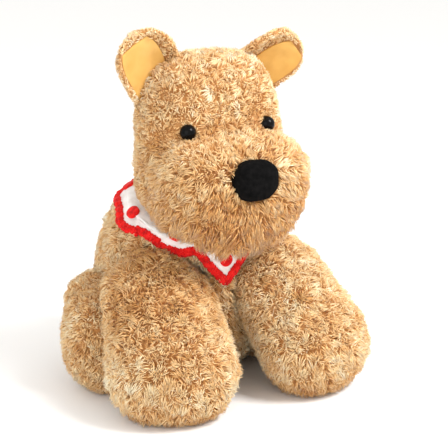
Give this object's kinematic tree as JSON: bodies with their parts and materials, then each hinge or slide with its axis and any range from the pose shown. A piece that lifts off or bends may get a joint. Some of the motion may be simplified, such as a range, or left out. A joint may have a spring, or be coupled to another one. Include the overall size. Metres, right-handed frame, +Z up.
{
  "type": "plush dog",
  "caption": "Sitting tan plush dog with a boxy shaggy head, upright gold-lined ears, oval nose and a pointed white felt collar edged in red.",
  "frame": {"origin": "on the floor under the middle of the toy's bounding box", "axes": "+Z up, the dog faces -Y, its left side is +X"},
  "size_m": [0.204, 0.2123, 0.254],
  "materials": {
    "plush": "shaggy pile",
    "ear_lining": "velour",
    "nose": "short velour",
    "eye": "gloss",
    "washer": "satin",
    "collar_cloth": "felt",
    "collar_trim": "chenille",
    "stuffing": "loose fibre"
  },
  "bodies": {
    "torso": {"belly_panel": "plush", "torso_left_panel": "plush", "torso_right_panel": "plush", "torso_stuffing": "stuffing", "collar_cloth": "collar_cloth", "collar_edging": "collar_trim", "collar_dots": "collar_trim"},
    "neck": {"neck_stuffing": "stuffing"},
    "head": {"head_gusset": "plush", "chin_panel": "plush", "head_left_panel": "plush", "head_right_panel": "plush", "head_stuffing": "stuffing", "left_eye": "eye", "right_eye": "eye", "left_eye_washer": "washer", "right_eye_washer": "washer", "nose_cover": "nose", "nose_padding": "stuffing"},
    "left_ear": {"left_ear_back": "plush", "left_ear_lining": "ear_lining"},
    "left_front_leg": {"left_front_leg_outer_panel": "plush", "left_front_leg_inner_panel": "plush", "left_front_leg_stuffing": "stuffing"},
    "left_hind_leg": {"left_hind_leg_outer_panel": "plush", "left_hind_leg_inner_panel": "plush", "left_hind_leg_stuffing": "stuffing"},
    "right_ear": {"right_ear_back": "plush", "right_ear_lining": "ear_lining"},
    "right_front_leg": {"right_front_leg_outer_panel": "plush", "right_front_leg_inner_panel": "plush", "right_front_leg_stuffing": "stuffing"},
    "right_hind_leg": {"right_hind_leg_outer_panel": "plush", "right_hind_leg_inner_panel": "plush", "right_hind_leg_stuffing": "stuffing"},
    "tail": {"tail_left_panel": "plush", "tail_right_panel": "plush", "tail_stuffing": "stuffing"}
  },
  "joints": [
    {"name": "neck_turn", "type": "hinge", "parent": "torso", "child": "neck", "pos_m": [0, -0.004, 0.131], "axis": [0, -0.342, 0.9397], "range_deg": [-25, 25], "stiffness_Nm_per_rad": 2},
    {"name": "neck_nod", "type": "hinge", "parent": "neck", "child": "head", "pos_m": [0, -0.004, 0.131], "axis": [1, 0, 0], "range_deg": [-5, 5], "stiffness_Nm_per_rad": 4},
    {"name": "left_ear_fold", "type": "hinge", "parent": "head", "child": "left_ear", "pos_m": [0.043, -0.016, 0.23], "axis": [0.8463, 0.0592, -0.5294], "range_deg": [-15, 25], "stiffness_Nm_per_rad": 0.2},
    {"name": "right_ear_fold", "type": "hinge", "parent": "head", "child": "right_ear", "pos_m": [-0.043, -0.016, 0.23], "axis": [0.8463, -0.0592, 0.5294], "range_deg": [-15, 25], "stiffness_Nm_per_rad": 0.2},
    {"name": "left_front_leg_raise", "type": "hinge", "parent": "torso", "child": "left_front_leg", "pos_m": [0.043, -0.024, 0.075], "axis": [-1, 0, 0], "range_deg": [0, 22], "stiffness_Nm_per_rad": 2},
    {"name": "right_front_leg_raise", "type": "hinge", "parent": "torso", "child": "right_front_leg", "pos_m": [-0.043, -0.024, 0.075], "axis": [-1, 0, 0], "range_deg": [0, 22], "stiffness_Nm_per_rad": 2},
    {"name": "left_hind_leg_spread", "type": "hinge", "parent": "torso", "child": "left_hind_leg", "pos_m": [0.048, 0.035, 0.044], "axis": [0, 0, 1], "range_deg": [0, 25], "stiffness_Nm_per_rad": 2},
    {"name": "right_hind_leg_spread", "type": "hinge", "parent": "torso", "child": "right_hind_leg", "pos_m": [-0.048, 0.035, 0.044], "axis": [0, 0, -1], "range_deg": [0, 25], "stiffness_Nm_per_rad": 2},
    {"name": "tail_wag", "type": "hinge", "parent": "torso", "child": "tail", "pos_m": [0, 0.086, 0.062], "axis": [0, 0, 1], "range_deg": [-30, 30], "stiffness_Nm_per_rad": 0.2}
  ]
}
